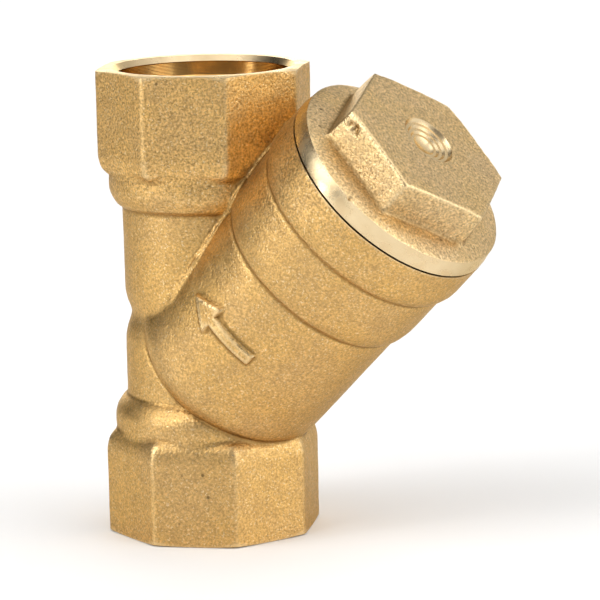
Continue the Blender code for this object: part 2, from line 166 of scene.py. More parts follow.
# ------------------------------------------------------------------ mesh helpers
def object_from(bm, name, place, slot=CAST_SLOT):
    """Turn a bmesh drawn in the given frame into an object in the scene."""
    bmesh.ops.recalc_face_normals(bm, faces=bm.faces[:])
    for face in bm.faces:
        face.material_index = slot
    mesh = bpy.data.meshes.new(name)
    bm.to_mesh(mesh)
    bm.free()
    mesh.transform(place)
    obj = bpy.data.objects.new(name, mesh)
    bpy.context.scene.collection.objects.link(obj)
    return obj


def lathe(name, profile, place, slot=CAST_SLOT, steps=ROUND):
    """Turn a profile about the Z axis; one that never meets the axis closes as a ring."""
    bm = bmesh.new()
    rings = []
    for radius, height in profile:
        if radius <= 0.0:
            rings.append([bm.verts.new((0.0, 0.0, height * MM))])
            continue
        ring = []
        for i in range(steps):
            turn = 2.0 * math.pi * i / steps
            ring.append(
                bm.verts.new((radius * MM * math.cos(turn), radius * MM * math.sin(turn), height * MM))
            )
        rings.append(ring)
    pairs = list(zip(rings, rings[1:]))
    if len(rings[0]) > 1 and len(rings[-1]) > 1:
        pairs.append((rings[-1], rings[0]))
    for upper, lower in pairs:
        for i in range(steps):
            j = (i + 1) % steps
            if len(upper) == 1:
                bm.faces.new((upper[0], lower[i], lower[j]))
            elif len(lower) == 1:
                bm.faces.new((lower[0], upper[j], upper[i]))
            else:
                bm.faces.new((upper[i], lower[i], lower[j], upper[j]))
    return object_from(bm, name, place, slot)


def hexagon(name, corner, top_corner, low, high, turn, place):
    """A tapered hexagonal block; corner and top_corner are its corner radii in mm."""
    bm = bmesh.new()
    bmesh.ops.create_cone(
        bm,
        cap_ends=True,
        segments=6,
        radius1=corner * MM,
        radius2=top_corner * MM,
        depth=(high - low) * MM,
    )
    first = max(bm.verts, key=lambda v: v.co.x + 1e-3 * v.co.z)
    offset = turn - math.atan2(first.co.y, first.co.x)
    bmesh.ops.rotate(bm, verts=bm.verts, matrix=Matrix.Rotation(offset, 3, "Z"))
    bmesh.ops.translate(bm, verts=bm.verts, vec=Vector((0.0, 0.0, (low + high) / 2.0 * MM)))
    return object_from(bm, name, place)


def sweep(name, stations, place, slot=CAST_SLOT):
    """A closed tube through rings of points, with flat ends."""
    bm = bmesh.new()
    rings = [[bm.verts.new(point) for point in ring] for ring in stations]
    count = len(rings[0])
    for a, b in zip(rings, rings[1:]):
        for i in range(count):
            j = (i + 1) % count
            bm.faces.new((a[i], a[j], b[j], b[i]))
    bm.faces.new(rings[0])
    bm.faces.new(rings[-1])
    return object_from(bm, name, place, slot)


def thread_tool(name, place, pitch, low, high, section, phase=0.0):
    """A right-handed helical cutter. The section is (radius, offset along the axis)."""
    turns = (high - low) / pitch
    stations = []
    for i in range(int(turns * HELIX_STEPS) + 1):
        turn = 2.0 * math.pi * i / HELIX_STEPS + phase
        height = low + pitch * i / HELIX_STEPS
        stations.append(
            [
                (radius * MM * math.cos(turn), radius * MM * math.sin(turn), (height + along) * MM)
                for radius, along in section
            ]
        )
    return sweep(name, stations, place, THREAD_SLOT)


def bake(obj):
    """Apply every modifier of an object."""
    graph = bpy.context.evaluated_depsgraph_get()
    mesh = bpy.data.meshes.new_from_object(obj.evaluated_get(graph))
    old = obj.data
    obj.modifiers.clear()
    obj.data = mesh
    bpy.data.meshes.remove(old)


def combine(obj, operation, *tools, solver="EXACT"):
    """Boolean with each tool in turn, then remove the tools."""
    for tool in tools:
        step = obj.modifiers.new("cut", "BOOLEAN")
        step.operation = operation
        step.solver = solver
        step.object = tool
        bake(obj)
        bpy.data.objects.remove(tool, do_unlink=True)


def soften(obj, voxel, rounds):
    """Fine even mesh with rounded edges and corners, like a casting."""
    remesh = obj.modifiers.new("remesh", "REMESH")
    remesh.mode = "VOXEL"
    remesh.voxel_size = voxel * MM
    smooth = obj.modifiers.new("smooth", "SMOOTH")
    smooth.factor = 0.5
    smooth.iterations = rounds
    bake(obj)


def points_of(obj):
    flat = np.empty(len(obj.data.vertices) * 3, np.float32)
    obj.data.vertices.foreach_get("co", flat)
    return flat.reshape(-1, 3).astype(float)


def normals_of(obj):
    flat = np.empty(len(obj.data.vertices) * 3, np.float32)
    obj.data.vertex_normals.foreach_get("vector", flat)
    return flat.reshape(-1, 3).astype(float)


def set_points(obj, points):
    obj.data.vertices.foreach_set("co", points.astype(np.float32).ravel())
    obj.data.update()


def local(points, place):
    """Points in mm as seen from the given frame."""
    inverse = np.array(place.inverted(), float)
    return (points @ inverse[:3, :3].T + inverse[:3, 3]) / MM


def uneven(points, scale, seed):
    """Smooth noise from -1 to 1 with features of the given size in mm."""
    shift = Vector((seed * 17.3, seed * 5.1, seed * 9.7))
    rate = 1.0 / (scale * MM)
    return np.array([noise.noise(Vector(p) * rate + shift) for p in points])


def dress(obj, *materials):
    """Give the object its materials and keep each face's slot number."""
    slots = np.empty(len(obj.data.polygons), np.int32)
    obj.data.polygons.foreach_get("material_index", slots)
    obj.data.materials.clear()
    for item in materials:
        obj.data.materials.append(item)
    obj.data.polygons.foreach_set("material_index", slots)


def shade(obj, angle=35.0):
    """Smooth shading with sharp edges above the given angle in degrees."""
    obj.data.shade_smooth()
    obj.data.set_sharp_from_angle(angle=math.radians(angle))


# ------------------------------------------------------------------ materials
class Nodes:
    """Short helper for building a node tree."""

    def __init__(self, name):
        self.material = bpy.data.materials.new(name)
        self.material.use_nodes = True
        self.tree = self.material.node_tree
        self.shader = self.tree.nodes["Principled BSDF"]
        self.coords = self.add("ShaderNodeTexCoord").outputs["Object"]

    def add(self, kind, **settings):
        node = self.tree.nodes.new(kind)
        for key, value in settings.items():
            setattr(node, key, value)
        return node

    def link(self, source, target):
        self.tree.links.new(source, target)

    def set(self, node, **values):
        for key, value in values.items():
            socket = node.inputs[key.replace("_", " ")]
            if hasattr(value, "links"):
                self.link(value, socket)
            else:
                socket.default_value = value

    def noise(self, size, detail=2.0, roughness=0.5, vector=None):
        """Cloudy noise from 0 to 1 with features of the given size in mm."""
        node = self.add("ShaderNodeTexNoise")
        self.set(node, Scale=1.0 / (size * MM), Detail=detail, Roughness=roughness)
        self.link(vector or self.coords, node.inputs["Vector"])
        return node.outputs["Fac"]

    def dots(self, size):
        """Distance to the nearest of a scatter of points, as a share of their spacing."""
        node = self.add("ShaderNodeTexVoronoi", feature="F1")
        self.set(node, Scale=1.0 / (size * MM))
        self.link(self.coords, node.inputs["Vector"])
        return node.outputs["Distance"]

    def grey(self, value):
        """A colour with the value in all three channels."""
        node = self.add("ShaderNodeCombineColor")
        for socket in node.inputs:
            self.link(value, socket)
        return node.outputs[0]

    def remap(self, value, low, high, to_low, to_high):
        """Stretch low..high to to_low..to_high, clamped at both ends."""
        node = self.add("ShaderNodeMapRange")
        self.link(value, node.inputs["Value"])
        node.inputs["From Min"].default_value = low
        node.inputs["From Max"].default_value = high
        node.inputs["To Min"].default_value = to_low
        node.inputs["To Max"].default_value = to_high
        return node.outputs["Result"]

    def math(self, operation, a, b=0.0):
        node = self.add("ShaderNodeMath", operation=operation)
        for socket, value in zip(node.inputs, (a, b)):
            if hasattr(value, "links"):
                self.link(value, socket)
            else:
                socket.default_value = value
        return node.outputs[0]

    def mix(self, factor, a, b, blend="MIX"):
        node = self.add("ShaderNodeMix", data_type="RGBA", blend_type=blend)
        sockets = [s for s in node.inputs if s.enabled]
        for socket, value in zip(sockets, (factor, a, b)):
            if hasattr(value, "links"):
                self.link(value, socket)
            elif isinstance(value, tuple):
                socket.default_value = (*value, 1.0)
            else:
                socket.default_value = value
        return next(s for s in node.outputs if s.enabled)

    def bump(self, height, distance, strength=1.0, normal=None):
        """Shading relief, distance mm deep, on top of another normal if one is given."""
        node = self.add("ShaderNodeBump")
        node.inputs["Strength"].default_value = strength
        node.inputs["Distance"].default_value = distance * MM
        self.link(height, node.inputs["Height"])
        if normal is not None:
            self.link(normal, node.inputs["Normal"])
        return node.outputs["Normal"]

    def axis_coords(self, place):
        """Radius from, and distance along, the Z axis of a frame."""
        shift = self.add("ShaderNodeVectorMath", operation="SUBTRACT")
        self.link(self.coords, shift.inputs[0])
        shift.inputs[1].default_value = place.to_translation()
        turn = self.add("ShaderNodeVectorRotate", rotation_type="EULER_XYZ", invert=True)
        self.link(shift.outputs[0], turn.inputs["Vector"])
        turn.inputs["Rotation"].default_value = place.to_euler()
        split = self.add("ShaderNodeSeparateXYZ")
        self.link(turn.outputs[0], split.inputs[0])
        x, y, along = split.outputs
        squares = self.math("ADD", self.math("MULTIPLY", x, x), self.math("MULTIPLY", y, y))
        return self.math("SQRT", squares), along


def cast_brass(name, gold, tan, dull=0.0, coarse_above=42.0):
    """Shot-blasted casting: fine bright and dark grain with painted glints, pale edges that are part
    rubbed wear and part painted highlight, and painted shade in hollows and small pits.

    The grain is stronger above the given height in mm along the run.
    """
    n = Nodes(name)
    grain = n.noise(0.29, 2.0, 0.62)
    # Mask of pale spots painted as sparkle highlights.
    painted_glint = n.remap(n.noise(0.24, 1.0, 0.5), 0.62, 0.72, 0.0, 1.0)
    coarse = n.noise(1.5, 3.0, 0.55)
    patches = n.noise(7.0, 3.0, 0.55)
    colour = n.mix(n.remap(patches, 0.35, 0.65, dull, 0.55 + dull), gold, tan)

    # Bright and dark grain, with a few pale painted glints that stand in for sparkle highlights.
    _, height = n.axis_coords(RUN_FRAME)
    contrast = n.remap(height, (coarse_above - 2.0) * MM, (coarse_above + 2.0) * MM, 0.30, 0.46)
    swing = n.math("MULTIPLY", n.remap(grain, 0.30, 0.70, -1.0, 1.0), contrast)
    colour = n.mix(1.0, colour, n.grey(n.math("ADD", swing, 1.0)), "MULTIPLY")
    colour = n.mix(n.math("MULTIPLY", painted_glint, 0.6), colour, PAINTED_GLINT)
    blotch = n.math("MULTIPLY", n.remap(coarse, 0.4, 0.7, 0.0, 1.0), 0.25)
    colour = n.mix(blotch, colour, tuple(c * 0.72 for c in tan))

    # Small dark spots painted as the shade of tiny pits that the mesh doesn't have, only inside some of
    # the patches.
    spot = n.remap(n.dots(2.6), 0.055, 0.10, 1.0, 0.0)
    pit_shade = n.math("MULTIPLY", spot, n.remap(patches, 0.52, 0.56, 0.0, 0.8))
    colour = n.mix(pit_shade, colour, PIT_SHADE)

    # Edges that stand out by some hundredths of a mm get a paler colour, part rubbed wear and part
    # painted highlight, and hollows get painted shade.
    relief = n.add("ShaderNodeAttribute", attribute_name="relief").outputs["Fac"]
    rag = n.math("MULTIPLY", n.math("SUBTRACT", grain, 0.5), 0.05)
    relief = n.math("ADD", relief, rag)
    worn_and_highlit = n.remap(relief, 0.022, 0.08, 0.0, 1.0)
    colour = n.mix(n.math("MULTIPLY", worn_and_highlit, 0.45), colour, RUBBED_AND_HIGHLIT)
    # Painted shade in the hollows, stronger the deeper they sit.
    colour = n.mix(n.remap(relief, -0.02, -0.08, 0.0, 0.7), colour, HOLLOW_SHADE)

    rough = n.remap(coarse, 0.3, 0.7, 0.38, 0.50)
    for factor in (painted_glint, worn_and_highlit):
        rough = n.math("SUBTRACT", rough, n.math("MULTIPLY", factor, 0.12))
    normal = n.bump(coarse, 0.10, 0.6, n.bump(grain, 0.075))
    n.set(n.shader, Base_Color=colour, Metallic=1.0, Roughness=rough, Normal=normal)
    n.shader.inputs["Specular Tint"].default_value = CAST_TINT
    return n.material


def machined_brass(
    name, place, marks=0.11, colour=(0.80, 0.63, 0.38), deep=(0.72, 0.53, 0.29), rough=0.2
):
    """Turned brass with fine tool marks, marks mm apart, around the frame's Z axis."""
    n = Nodes(name)
    radius, along = n.axis_coords(place)
    line = n.math("MULTIPLY", n.math("ADD", radius, along), 2.0 * math.pi / (marks * MM))
    waves = n.math("SINE", line)
    wander = n.noise(2.2, 3.0)
    fine = n.noise(0.12, 2.0)
    height = n.math("ADD", n.math("MULTIPLY", waves, 0.35), n.math("MULTIPLY", fine, 0.5))
    tone = n.mix(n.remap(wander, 0.35, 0.7, 0.0, 0.7), colour, deep)
    n.set(
        n.shader,
        Base_Color=tone,
        Metallic=1.0,
        Roughness=n.remap(wander, 0.3, 0.7, rough, rough + 0.12),
        Normal=n.bump(height, 0.006, 0.7),
    )
    n.shader.inputs["Anisotropic"].default_value = 0.35
    n.shader.inputs["Specular Tint"].default_value = MACHINED_TINT
    return n.material


def fibre(name):
    """Matt grey-black pressed fibre."""
    n = Nodes(name)
    speck = n.noise(0.25, 4.0, 0.7)
    dark, light = (0.035, 0.034, 0.032), (0.10, 0.09, 0.08)
    n.set(
        n.shader,
        Base_Color=n.mix(n.remap(speck, 0.35, 0.65, 0.0, 1.0), dark, light),
        Roughness=n.remap(speck, 0.3, 0.7, 0.7, 0.9),
        Normal=n.bump(speck, 0.05),
    )
    return n.material


def stainless(name, colour, rough, marks=0.3):
    """Steel with fine drawn lines around the branch's axis."""
    n = Nodes(name)
    radius, along = n.axis_coords(BRANCH_FRAME)
    stretch = n.add("ShaderNodeCombineXYZ")
    n.link(along, stretch.inputs[0])
    n.link(radius, stretch.inputs[1])
    streaks = n.noise(marks, 3.0, 0.6, stretch.outputs[0])
    cloud = n.noise(3.0, 3.0)
    tone = n.mix(n.remap(cloud, 0.3, 0.7, 0.0, 1.0), colour, tuple(c * 0.82 for c in colour))
    n.set(
        n.shader,
        Base_Color=tone,
        Metallic=1.0,
        Roughness=n.remap(streaks, 0.3, 0.7, rough, rough + 0.16),
        Normal=n.bump(streaks, 0.01, 0.6),
    )
    return n.material


# ------------------------------------------------------------------ body
def run_radius():
    """Outer profile of the run between the two octagonal ends."""
    return [
        (0.0, 47.5),
        # outlet collar
        (12.0, 47.5),
        (12.04, 44.2),
        (12.02, 43.1),
        (11.75, 42.3),
        (11.25, 41.4),
        (10.62, 40.75),
        # upper tube
        (10.46, 40.2),
        (10.42, 35.0),
        (10.40, 30.3),
        # waist
        (10.15, 29.1),
        (9.78, 28.1),
        (9.68, 27.55),
        (9.85, 26.8),
        (10.25, 25.7),
        # lower tube
        (10.46, 24.6),
        (10.5, 21.0),
        (10.5, 17.9),
        # inlet collar
        (10.7, 17.2),
        (11.25, 16.55),
        (11.8, 15.7),
        (12.04, 14.9),
        (12.06, 13.2),
        (12.0, 10.0),
        (0.0, 10.0),
    ]


def octagon_end(name, face, shoulder):
    """An octagonal end with rounded corners and inner edge; shoulder is (inset, height)."""
    arc_centre = OCTAGON_CORNER - EDGE_ROUND / math.cos(math.pi / 8.0)
    arc_steps = (-1.0, -0.6, -0.2, 0.2, 0.6, 1.0)
    stations = []
    for inset, height in [(0.0, face), *shoulder]:
        ring = []
        for k in range(8):
            corner = k * math.pi / 4.0
            for step in arc_steps:
                turn = corner + step * math.pi / 8.0
                x = (arc_centre - inset) * math.cos(corner) + EDGE_ROUND * math.cos(turn)
                y = (arc_centre - inset) * math.sin(corner) + EDGE_ROUND * math.sin(turn)
                ring.append((x * MM, y * MM, height * MM))
        stations.append(ring)
    return sweep(name, stations, RUN_FRAME)


def branch_radius():
    """Outer profile of the branch."""
    return [
        (0.0, MOUTH_S + 1.5),
        # flange
        (FLANGE_R, MOUTH_S + 1.5),
        (FLANGE_R, 33.5),
        (14.3, 32.8),
        (14.05, 32.0),
        # collar
        (13.7, 31.3),
        (13.7, 25.6),
        (13.64, 25.0),
        (13.5, 24.2),
        (13.3, 23.45),
        # tube
        (12.95, 22.8),
        (12.98, 12.0),
        (12.98, 5.2),
        # rounded foot
        (12.8, 4.1),
        (12.3, 3.0),
        (11.6, 2.1),
        (10.7, 1.35),
        (9.3, 0.7),
        (6.0, -0.2),
        (0.0, -0.6),
    ]


def arrow_height(points):
    """Height in mm of the raised arrow on the branch's front, inlet toward outlet."""
    middle, half, head, width, shaft = 14.3, 5.2, 4.0, 4.2, 1.5
    neck = half - head
    outline = [
        (-half, -shaft / 2.0),
        (neck, -shaft / 2.0),
        (neck, -width / 2.0),
        (half, 0.0),
        (neck, width / 2.0),
        (neck, shaft / 2.0),
        (-half, shaft / 2.0),
    ]
    placed = local(points, BRANCH_FRAME)
    x, y = -placed[:, 0], placed[:, 2] - middle
    nearest = np.full(len(points), 1e6)
    inside = np.zeros(len(points), bool)
    for (x0, y0), (x1, y1) in zip(outline, outline[1:] + outline[:1]):
        dx, dy = x1 - x0, y1 - y0
        along = np.clip(((x - x0) * dx + (y - y0) * dy) / (dx * dx + dy * dy), 0.0, 1.0)
        nearest = np.minimum(nearest, np.hypot(x - x0 - along * dx, y - y0 - along * dy))
        if dy:
            crosses = ((y0 > y) != (y1 > y)) & (x < x0 + (y - y0) * dx / dy)
            inside ^= crosses
    signed = np.where(inside, nearest, -nearest)
    ramp = np.clip(signed / 0.36 + 0.6, 0.0, 1.0)
    return np.where(placed[:, 1] < 0.0, ARROW_HEIGHT * ramp * ramp * (3.0 - 2.0 * ramp), 0.0)


def beyond_profile(placed, profile):
    """How far points lie outside a turned profile, in mm; both are in the same frame."""
    side = profile[1:-1]
    heights = np.array([h for r, h in side])[::-1]
    radii = np.array([r for r, h in side])[::-1]
    return np.hypot(placed[:, 0], placed[:, 1]) - np.interp(placed[:, 2], heights, radii)


def seam_distance(points):
    """Distances from the run's and the branch's outer surfaces, and places along both."""
    run = local(points, RUN_FRAME)
    facets = [math.pi / 8.0 + k * math.pi / 4.0 for k in range(8)]
    octagon = np.max([run[:, 0] * math.cos(a) + run[:, 1] * math.sin(a) for a in facets], axis=0)
    octagon -= OCTAGON_FLATS / 2.0
    from_run = np.where(run[:, 2] > OUTLET_END_LOW, octagon, beyond_profile(run, run_radius()))
    branch = local(points, BRANCH_FRAME)
    from_branch = beyond_profile(branch, branch_radius())
    return from_run, from_branch, run[:, 2], branch[:, 2]


def crease_depth(from_run, from_branch, height, along):
    """Sharp hollows the casting keeps where its steps meet, in mm."""
    depth = np.zeros(len(height))
    on_branch = np.clip((from_run - 0.2) / 0.6, 0.0, 1.0) * (np.abs(from_branch) < 0.7)
    for place, deep in BRANCH_CREASES:
        depth += deep * on_branch * np.exp(-(((along - place) / BRANCH_CREASE_WIDTH) ** 2))
    on_run = np.clip((from_branch - 0.2) / 0.6, 0.0, 1.0) * (np.abs(from_run) < 0.8)
    for place, deep in RUN_CREASES:
        depth += deep * on_run * np.exp(-(((height - place) / RUN_CREASE_WIDTH) ** 2))
    seam = np.exp(-(from_run**2 + from_branch**2) / (2.0 * SEAM_GROOVE_WIDTH**2))
    return depth + SEAM_GROOVE_DEPTH * seam * np.clip((27.0 - height) / 4.0, 0.0, 1.0)


def bead_height(points, from_run, from_branch, height):
    """Raised, uneven bead where the upper run meets the branch, in mm."""
    bead = np.exp(-(from_run**2 + from_branch**2) / (2.0 * BEAD_WIDTH**2))
    bead *= np.clip((height - 26.0) / 8.0, 0.0, 1.0) * (1.0 + 0.6 * uneven(points, 1.3, 9.0))
    return BEAD_HEIGHT * bead


def skin_height(points, seed):
    """Slightly uneven skin, as sand and shot leave it, in mm."""
    broad, fine = uneven(points, 3.2, seed), uneven(points, 1.0, seed + 3)
    return UNEVEN_DEPTH * broad + 0.3 * UNEVEN_DEPTH * fine


def raise_skin(obj, points, height):
    """Move each point of the object out along its normal by its height in mm."""
    set_points(obj, points + normals_of(obj) * (height * MM)[:, None])


def flaw_depth(points):
    """Small blow holes in the cap, in mm."""
    placed = local(points, BRANCH_FRAME)
    depth = np.zeros(len(points))
    for centre, radius, deep in CAP_FLAWS:
        away = np.linalg.norm(placed - np.array(centre), axis=1)
        depth += deep * np.exp(-((away / radius) ** 2))
    return depth


def mark_relief(obj):
    """Store how far each point stands above (+) or below (-) its surroundings, in mm.

    The surroundings are a copy of the surface whose points drift toward their neighbours.
    """
    points = points_of(obj)
    pairs = np.empty(len(obj.data.edges) * 2, np.int32)
    obj.data.edges.foreach_get("vertices", pairs)
    a, b = pairs[0::2], pairs[1::2]
    count = np.maximum(np.bincount(pairs, minlength=len(points)), 1)
    spread = points.copy()
    for _ in range(RELIEF_ROUNDS):
        total = np.empty_like(spread)
        for axis in range(3):
            column = spread[:, axis]
            total[:, axis] = np.bincount(a, column[b], len(points))
            total[:, axis] += np.bincount(b, column[a], len(points))
        spread = 0.4 * spread + 0.6 * total / count[:, None]
    height = ((points - spread) * normals_of(obj)).sum(axis=1) / MM
    store = obj.data.attributes.new("relief", "FLOAT", "POINT")
    store.data.foreach_set("value", np.clip(height, -0.3, 0.3).astype(np.float32))


def turned_end(name, face, direction, depths, slot):
    """A cutter turned about the run; depths are (radius, depth below the end face)."""
    placed = [(r, face + direction * d) for r, d in depths]
    if direction > 0:
        placed.reverse()
    return lathe(name, placed, RUN_FRAME, slot)


def end_cutters(name, face, direction):
    """Face, corner chamfer and lead-in, then the threaded socket with its relief.

    Both outlines are (radius, depth below the end face).
    """
    facing = [
        (0.0, -3.0),
        (OCTAGON_CORNER + 1.2, -3.0),
        (OCTAGON_CORNER + 1.2, 0.35),
        (12.4, 0.0),
        (11.3, 0.0),
        (10.7, 0.7),
        (0.0, 0.7),
    ]
    socket = [
        (0.0, 0.5),
        (PIPE_RELIEF_R, 0.5),
        (PIPE_RELIEF_R, 0.9),
        (10.4, 2.4),
        (10.2, 2.6),
        (PIPE_BORE_R, 3.2),
        (PIPE_BORE_R, 10.4),
        (PIPE_RELIEF_R, 10.4),
        (PIPE_RELIEF_R, SOCKET_DEPTH),
        (PASSAGE_R, SOCKET_DEPTH),
        (PASSAGE_R, 12.6),
        (0.0, 12.6),
    ]
    section = [(9.1, -0.86), (PIPE_THREAD_R, -0.11), (PIPE_THREAD_R, 0.11), (9.1, 0.86)]
    low, high = sorted((face + direction * 2.2, face + direction * 11.0))
    return [
        turned_end(name + "_facing", face, direction, facing, MACHINED_SLOT),
        turned_end(name + "_socket", face, direction, socket, THREAD_SLOT),
        thread_tool(name + "_thread", RUN_FRAME, PIPE_PITCH, low, high, section),
    ]


def branch_cutters():
    """Mouth, gasket recess, threaded bore, chamber, screen seat and the seat's hole."""
    chamber = [
        (0.0, MOUTH_S + 4.0),
        (CLEAR_R, MOUTH_S + 4.0),
        (CLEAR_R, MOUTH_S),
        (RECESS_R + 0.15, MOUTH_S),
        (RECESS_R, MOUTH_S - 0.15),
        (RECESS_R, RECESS_FLOOR_S),
        (12.4, RECESS_FLOOR_S),
        (CAP_BORE_R, 35.6),
        (CAP_BORE_R, 29.9),
        (12.3, 29.7),
        (12.3, 28.9),
        (CHAMBER_R, 28.4),
        (CHAMBER_R - 0.1, 7.0),
        (SEAT_R, 4.6),
        (SEAT_R, SEAT_S),
        (SEAT_HOLE_R, SEAT_S),
        (SEAT_HOLE_R, -4.0),
        (0.0, -4.0),
    ]
    section = [(11.1, -0.66), (12.13, -0.12), (12.13, 0.12), (11.1, 0.66)]
    return [
        lathe("chamber", chamber, BRANCH_FRAME, MACHINED_SLOT),
        thread_tool("cap_groove", BRANCH_FRAME, CAP_PITCH, CAP_THREAD_LOW_S, 37.2, section, THREAD_PHASE),
    ]


def passage_cutters():
    """Water's way from the inlet's socket up to the seat, and from the chamber to the outlet's."""
    outlet = [(0.0, 47.2), (PASSAGE_R, 47.2), (PASSAGE_R, 30.0), (6.0, 29.0), (0.0, 29.0)]
    inlet = [(0.0, 18.0), (6.0, 18.0), (PASSAGE_R, 17.0), (PASSAGE_R, 10.8), (0.0, 10.8)]
    return [
        lathe("outlet_bore", outlet, RUN_FRAME, MACHINED_SLOT, SMALL_ROUND),
        lathe("inlet_bore", inlet, RUN_FRAME, MACHINED_SLOT, SMALL_ROUND),
    ]


def build_body():
    body = lathe("strainer_body", run_radius(), RUN_FRAME)
    top_shoulder = [(0.0, 47.4), (0.12, 46.7), (0.4, 45.85), (1.0, 45.2), (1.6, 44.9), (2.4, 44.7)]
    low_shoulder = [(0.0, 10.6), (0.15, 11.4), (0.3, 11.95), (0.75, 12.6), (1.35, 13.05), (2.4, 13.3)]
    combine(
        body,
        "UNION",
        octagon_end("outlet_end", LENGTH + 1.5, top_shoulder),
        octagon_end("inlet_end", -1.5, low_shoulder),
        lathe("branch", branch_radius(), BRANCH_FRAME),
    )
    soften(body, CAST_VOXEL, BODY_SMOOTHING)
    points = points_of(body)
    from_run, from_branch, height, along = seam_distance(points)
    raised = skin_height(points, 1.0)
    raised += bead_height(points, from_run, from_branch, height) + arrow_height(points)
    raised -= crease_depth(from_run, from_branch, height, along)
    raise_skin(body, points, raised)
    combine(
        body,
        "DIFFERENCE",
        *end_cutters("outlet", LENGTH, -1.0),
        *end_cutters("inlet", 0.0, 1.0),
        *passage_cutters(),
        *branch_cutters(),
        solver="MANIFOLD",
    )
    mark_relief(body)
    cast = cast_brass("cast_brass", GOLD, TAN)
    turned = machined_brass(
        "turned_brass", RUN_FRAME, 0.11, colour=(0.66, 0.51, 0.31), deep=(0.56, 0.42, 0.24), rough=0.24
    )
    # Sockets, bores and threads get a darker brass that paints the shade inside them.
    shaded_bore = machined_brass(
        "shaded_bore_brass", RUN_FRAME, 0.2, colour=(0.60, 0.36, 0.12), deep=(0.34, 0.19, 0.06), rough=0.13
    )
    dress(body, cast, turned, shaded_bore)
    shade(body)
    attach(body, "housing")
    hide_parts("body")


# ------------------------------------------------------------------ cap
def cap_blank():
    """The cap as cast: crowned flange and domed, tapered hexagon, both still too thick."""
    flange = [
        (0.0, CAP_SHOULDER_S + 0.35),
        (10.0, CAP_SHOULDER_S + 0.35),
        (12.0, CAP_SHOULDER_S + 0.2),
        (13.2, CAP_SHOULDER_S - 0.05),
        (14.1, CAP_SHOULDER_S - 0.4),
        (14.8, CAP_SHOULDER_S - 1.1),
        (14.9, 28.0),
        (0.0, 28.0),
    ]
    dome = [
        (0.0, HEX_TOP_S + 0.02),
        (10.2, HEX_TOP_S),
        (HEX_CORNER + 0.4, HEX_TOP_S - 0.36),
        (HEX_CORNER + 0.4, CAP_SHOULDER_S - 2.5),
        (0.0, CAP_SHOULDER_S - 2.5),
    ]
    cap = lathe("screw_cap", flange, BRANCH_FRAME)
    head = hexagon(
        "hex_head",
        HEX_CORNER + 0.1,
        HEX_CORNER - HEX_TAPER,
        CAP_SHOULDER_S - 1.5,
        HEX_TOP_S,
        HEX_TURN,
        BRANCH_FRAME,
    )
    combine(head, "INTERSECT", lathe("hex_dome", dome, BRANCH_FRAME))
    combine(cap, "UNION", head)
    return cap


def cap_envelope():
    """What the lathe leaves of the blank: the flange's edge and underside, and the skirt."""
    outline = [
        (0.0, HEX_TOP_S + 3.0),
        (CLEAR_R, HEX_TOP_S + 3.0),
        (CLEAR_R, CAP_SHOULDER_S - 0.1),
        (14.05, CAP_SHOULDER_S - 0.35),
        (14.15, CAP_SHOULDER_S - 1.2),
        (CAP_FLANGE_R, CAP_SHOULDER_S - 2.0),
        (CAP_FLANGE_R, CAP_UNDER_S + 0.1),
        (CAP_FLANGE_R - 0.1, CAP_UNDER_S),
        (11.02, CAP_UNDER_S),
        (11.02, 36.9),
        (CAP_THREAD_R, 36.2),
        (CAP_THREAD_R, 30.8),
        (11.1, 30.0),
        (0.0, 30.0),
    ]
    return lathe("cap_envelope", outline, BRANCH_FRAME, MACHINED_SLOT)


def cap_cutters():
    """The hollow that takes the screen, the head's dimple with its rings, and the thread."""
    hollow = [
        (0.0, 41.7),
        (4.0, 41.6),
        (6.8, 41.1),
        (7.6, 40.1),
        (7.6, 34.3),
        (SEAT_R, 34.3),
        (SEAT_R, 30.5),
        (10.2, 29.0),
        (0.0, 29.0),
    ]
    dimple = [
        (0.0, HEX_TOP_S + 1.5),
        (3.9, HEX_TOP_S + 1.5),
        (3.5, HEX_TOP_S - 0.05),
        (3.15, HEX_TOP_S - 0.42),
        (2.75, HEX_TOP_S - 0.46),
        (2.5, HEX_TOP_S - 0.72),
        (2.1, HEX_TOP_S - 0.74),
        (1.85, HEX_TOP_S - 0.98),
        (1.45, HEX_TOP_S - 0.98),
        (1.2, HEX_TOP_S - 1.18),
        (0.0, HEX_TOP_S - 1.3),
    ]
    off_centre = BRANCH_FRAME @ Matrix.Translation(Vector((-0.5, 0.5, 0.0)) * MM)
    section = [(12.3, -0.62), (11.08, -0.10), (11.08, 0.10), (12.3, 0.62)]
    low = CAP_THREAD_LOW_S - CAP_PITCH / 2.0
    return [
        lathe("cap_hollow", hollow, BRANCH_FRAME, MACHINED_SLOT),
        lathe("dimple", dimple, off_centre, MACHINED_SLOT, SMALL_ROUND),
        thread_tool("skirt_groove", BRANCH_FRAME, CAP_PITCH, low, 37.3, section, THREAD_PHASE),
    ]


def build_cap():
    cap = cap_blank()
    soften(cap, CAST_VOXEL * 0.9, CAP_SMOOTHING)
    points = points_of(cap)
    raise_skin(cap, points, skin_height(points, 7.0) - flaw_depth(points))
    combine(cap, "INTERSECT", cap_envelope(), solver="MANIFOLD")
    combine(cap, "DIFFERENCE", *cap_cutters(), solver="MANIFOLD")
    mark_relief(cap)
    cast = cast_brass("cap_cast_brass", CAP_GOLD, CAP_TAN, dull=0.15, coarse_above=0.0)
    turned = machined_brass("cap_turned_brass", BRANCH_FRAME)
    dress(cap, cast, turned, turned)
    shade(cap)
    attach(cap, "cap")
    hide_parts("cap")


